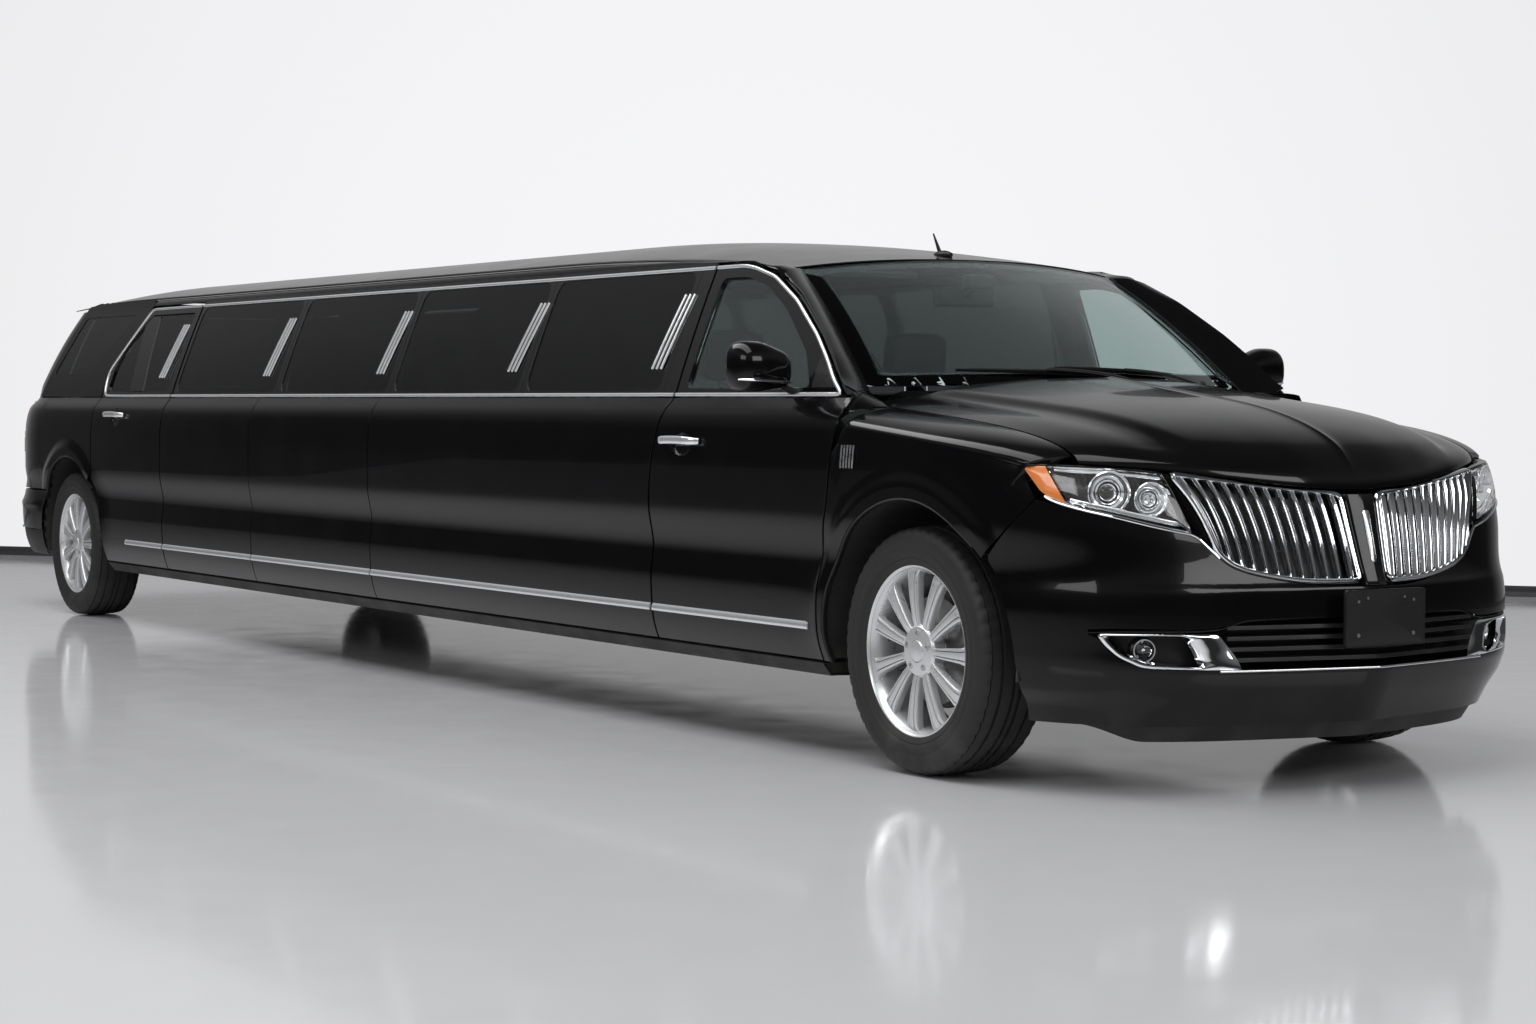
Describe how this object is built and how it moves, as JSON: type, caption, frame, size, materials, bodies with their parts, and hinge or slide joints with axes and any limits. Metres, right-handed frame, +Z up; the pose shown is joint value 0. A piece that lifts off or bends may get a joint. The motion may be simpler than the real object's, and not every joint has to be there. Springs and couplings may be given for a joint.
{
  "type": "stretch limousine",
  "caption": "Long-wheelbase limousine on a crossover body, with swing doors, hood, tailgate, steered front wheels and turning road wheels.",
  "frame": {"origin": "on the ground at the middle of the length and width", "axes": "+X towards the nose, +Y to the car's left, +Z up"},
  "size_m": [9.8454, 2.286, 1.705],
  "materials": {
    "body_paint": "high gloss black clear coat",
    "trim_black": "grained",
    "underbody": "satin black",
    "chrome": "polished",
    "lamp_glass": "clear lens",
    "red_lens": "moulded lens",
    "clear_glass": "laminated",
    "dark_glass": "privacy tint",
    "cast_metal": "as cast",
    "steel": "worn",
    "cabin_plastic": "soft grain",
    "cabin_leather": "stitched leather",
    "tyre": "rubber",
    "wheel_metal": "bright machined and silver lacquer"
  },
  "bodies": {
    "body": {"floor_pan": "underbody", "chassis_rails": "underbody", "sills": "trim_black", "hinge_pillars": "underbody", "firewall": "underbody", "roof": "body_paint", "side_panels": "body_paint", "windshield_pillars": "body_paint", "quarter_panels": "body_paint", "front_fenders": "body_paint", "wheel_wells": "trim_black", "front_bumper": "body_paint", "rear_bumper": "body_paint", "grille": "chrome", "headlights": "lamp_glass", "tail_lamps": "red_lens", "windshield": "clear_glass", "side_windows": "dark_glass", "plate_bracket": "trim_black", "engine_block": "cast_metal", "drive_shaft": "steel", "exhaust": "steel", "front_subframe": "underbody", "rear_axle": "underbody", "dashboard": "cabin_plastic", "front_seats": "cabin_leather", "lounge_seats": "cabin_leather"},
    "hood": {"hood": "body_paint"},
    "front_door_left": {"front_door_left": "body_paint", "front_door_glass_left": "dark_glass", "mirror_left": "body_paint"},
    "front_door_right": {"front_door_right": "body_paint", "front_door_glass_right": "dark_glass", "mirror_right": "body_paint"},
    "rear_door_left": {"rear_door_left": "body_paint", "rear_door_glass_left": "dark_glass"},
    "rear_door_right": {"rear_door_right": "body_paint", "rear_door_glass_right": "dark_glass"},
    "tailgate": {"tailgate": "body_paint", "tailgate_glass": "dark_glass"},
    "steering_wheel": {"steering_wheel": "cabin_leather"},
    "knuckle_left": {"knuckle_left": "cast_metal"},
    "knuckle_right": {"knuckle_right": "cast_metal"},
    "wheel_front_left": {"tyre_front_left": "tyre", "rim_front_left": "wheel_metal"},
    "wheel_front_right": {"tyre_front_right": "tyre", "rim_front_right": "wheel_metal"},
    "wheel_rear_left": {"tyre_rear_left": "tyre", "rim_rear_left": "wheel_metal"},
    "wheel_rear_right": {"tyre_rear_right": "tyre", "rim_rear_right": "wheel_metal"}
  },
  "joints": [
    {"name": "hood_lift", "type": "hinge", "parent": "body", "child": "hood", "pos_m": [3.4985, 0, 1.092], "axis": [0, -1, 0], "range_deg": [0, 50]},
    {"name": "tailgate_lift", "type": "hinge", "parent": "body", "child": "tailgate", "pos_m": [-4.2465, 0, 1.628], "axis": [0, 1, 0], "range_deg": [0, 78]},
    {"name": "front_door_left_swing", "type": "hinge", "parent": "body", "child": "front_door_left", "pos_m": [3.4035, 0.94, 0.668], "axis": [0, 0, -1], "range_deg": [0, 65]},
    {"name": "front_door_right_swing", "type": "hinge", "parent": "body", "child": "front_door_right", "pos_m": [3.4035, -0.94, 0.668], "axis": [0, 0, 1], "range_deg": [0, 65]},
    {"name": "rear_door_left_swing", "type": "hinge", "parent": "body", "child": "rear_door_left", "pos_m": [-2.3915, 0.94, 0.668], "axis": [0, 0, -1], "range_deg": [0, 65]},
    {"name": "rear_door_right_swing", "type": "hinge", "parent": "body", "child": "rear_door_right", "pos_m": [-2.3915, -0.94, 0.668], "axis": [0, 0, 1], "range_deg": [0, 65]},
    {"name": "steer_left", "type": "hinge", "parent": "body", "child": "knuckle_left", "pos_m": [3.9185, 0.7, 0.37], "axis": [0, 0, 1], "range_deg": [-35, 35]},
    {"name": "steer_right", "type": "hinge", "parent": "body", "child": "knuckle_right", "pos_m": [3.9185, -0.7, 0.37], "axis": [0, 0, 1], "range_deg": [-35, 35]},
    {"name": "steering_wheel_turn", "type": "hinge", "parent": "body", "child": "steering_wheel", "pos_m": [2.8385, 0.4, 1], "axis": [-0.9063, 0, 0.4226], "range_deg": [-490, 490]},
    {"name": "wheel_front_left_spin", "type": "hinge", "parent": "knuckle_left", "child": "wheel_front_left", "pos_m": [3.9185, 0.815, 0.37], "axis": [0, 1, 0], "continuous": true},
    {"name": "wheel_front_right_spin", "type": "hinge", "parent": "knuckle_right", "child": "wheel_front_right", "pos_m": [3.9185, -0.815, 0.37], "axis": [0, 1, 0], "continuous": true},
    {"name": "wheel_rear_left_spin", "type": "hinge", "parent": "body", "child": "wheel_rear_left", "pos_m": [-3.6485, 0.815, 0.37], "axis": [0, 1, 0], "continuous": true},
    {"name": "wheel_rear_right_spin", "type": "hinge", "parent": "body", "child": "wheel_rear_right", "pos_m": [-3.6485, -0.815, 0.37], "axis": [0, 1, 0], "continuous": true}
  ],
  "couplings": [
    {"joint": "steer_right", "follows": "steer_left", "ratio": 1},
    {"joint": "steering_wheel_turn", "follows": "steer_left", "ratio": 14}
  ]
}
